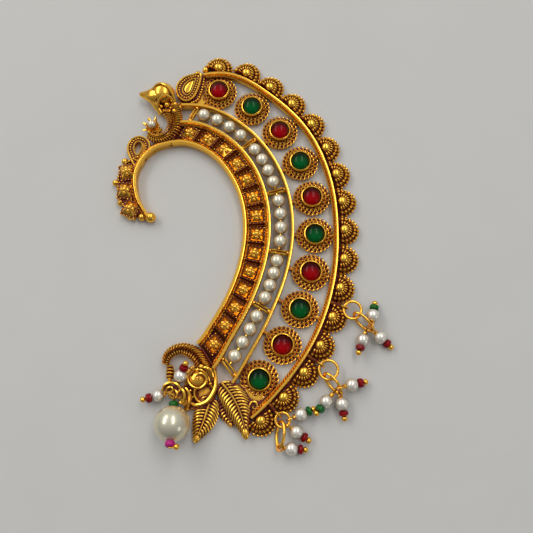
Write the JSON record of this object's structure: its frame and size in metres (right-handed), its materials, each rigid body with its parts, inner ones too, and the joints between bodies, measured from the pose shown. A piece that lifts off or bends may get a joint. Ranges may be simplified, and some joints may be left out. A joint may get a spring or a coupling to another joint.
{
  "type": "bridal ear cuff",
  "caption": "C-shaped ear cuff in gilt cast metal: strung pearls, domed red and green stones, scalloped edge, bird ends and pearl drops.",
  "frame": {"origin": "middle of the cuff's outline, drops included, on the surface that its back lies on", "axes": "+Z out of the front face, +Y up the cuff towards the bird with the pearl cup, +X towards the scalloped edge"},
  "size_m": [0.0623, 0.091, 0.0073],
  "materials": {
    "gilt_metal": "antique gilt, bright on the edges and dark in the recesses",
    "red_stone": "polished domed cabochon",
    "green_stone": "polished domed cabochon",
    "pearl": "cream pearl lustre"
  },
  "bodies": {
    "root": {"cuff_frame": "gilt_metal", "stone_red_1": "red_stone", "stone_red_2": "red_stone", "stone_red_3": "red_stone", "stone_red_4": "red_stone", "stone_red_5": "red_stone", "stone_green_1": "green_stone", "stone_green_2": "green_stone", "stone_green_3": "green_stone", "stone_green_4": "green_stone", "stone_green_5": "green_stone", "pearl_string_1": "pearl", "pearl_string_2": "pearl", "pearl_string_3": "pearl", "pearl_string_4": "pearl", "pearl_string_5": "pearl", "crown_pearl": "pearl", "jump_ring_1": "gilt_metal", "jump_ring_2": "gilt_metal", "jump_ring_3": "gilt_metal", "jump_ring_4": "gilt_metal", "link_1": "gilt_metal", "link_2": "gilt_metal", "link_3": "gilt_metal", "headpin_1": "gilt_metal", "headpin_2": "gilt_metal", "headpin_3": "gilt_metal", "headpin_4": "gilt_metal", "headpin_5": "gilt_metal", "headpin_6": "gilt_metal", "headpin_7": "gilt_metal", "headpin_8": "gilt_metal", "headpin_9": "gilt_metal", "headpin_10": "gilt_metal", "headpin_11": "gilt_metal", "headpin_12": "gilt_metal", "drop_pearl_1": "pearl", "drop_pearl_2": "pearl", "drop_pearl_3": "pearl", "drop_pearl_4": "pearl", "drop_pearl_5": "pearl", "drop_pearl_6": "pearl", "drop_pearl_7": "pearl", "drop_pearl_8": "pearl", "drop_pearl_9": "pearl", "drop_pearl_10": "pearl", "drop_pearl_11": "pearl", "drop_pearl_12": "pearl"}
  },
  "joints": []
}
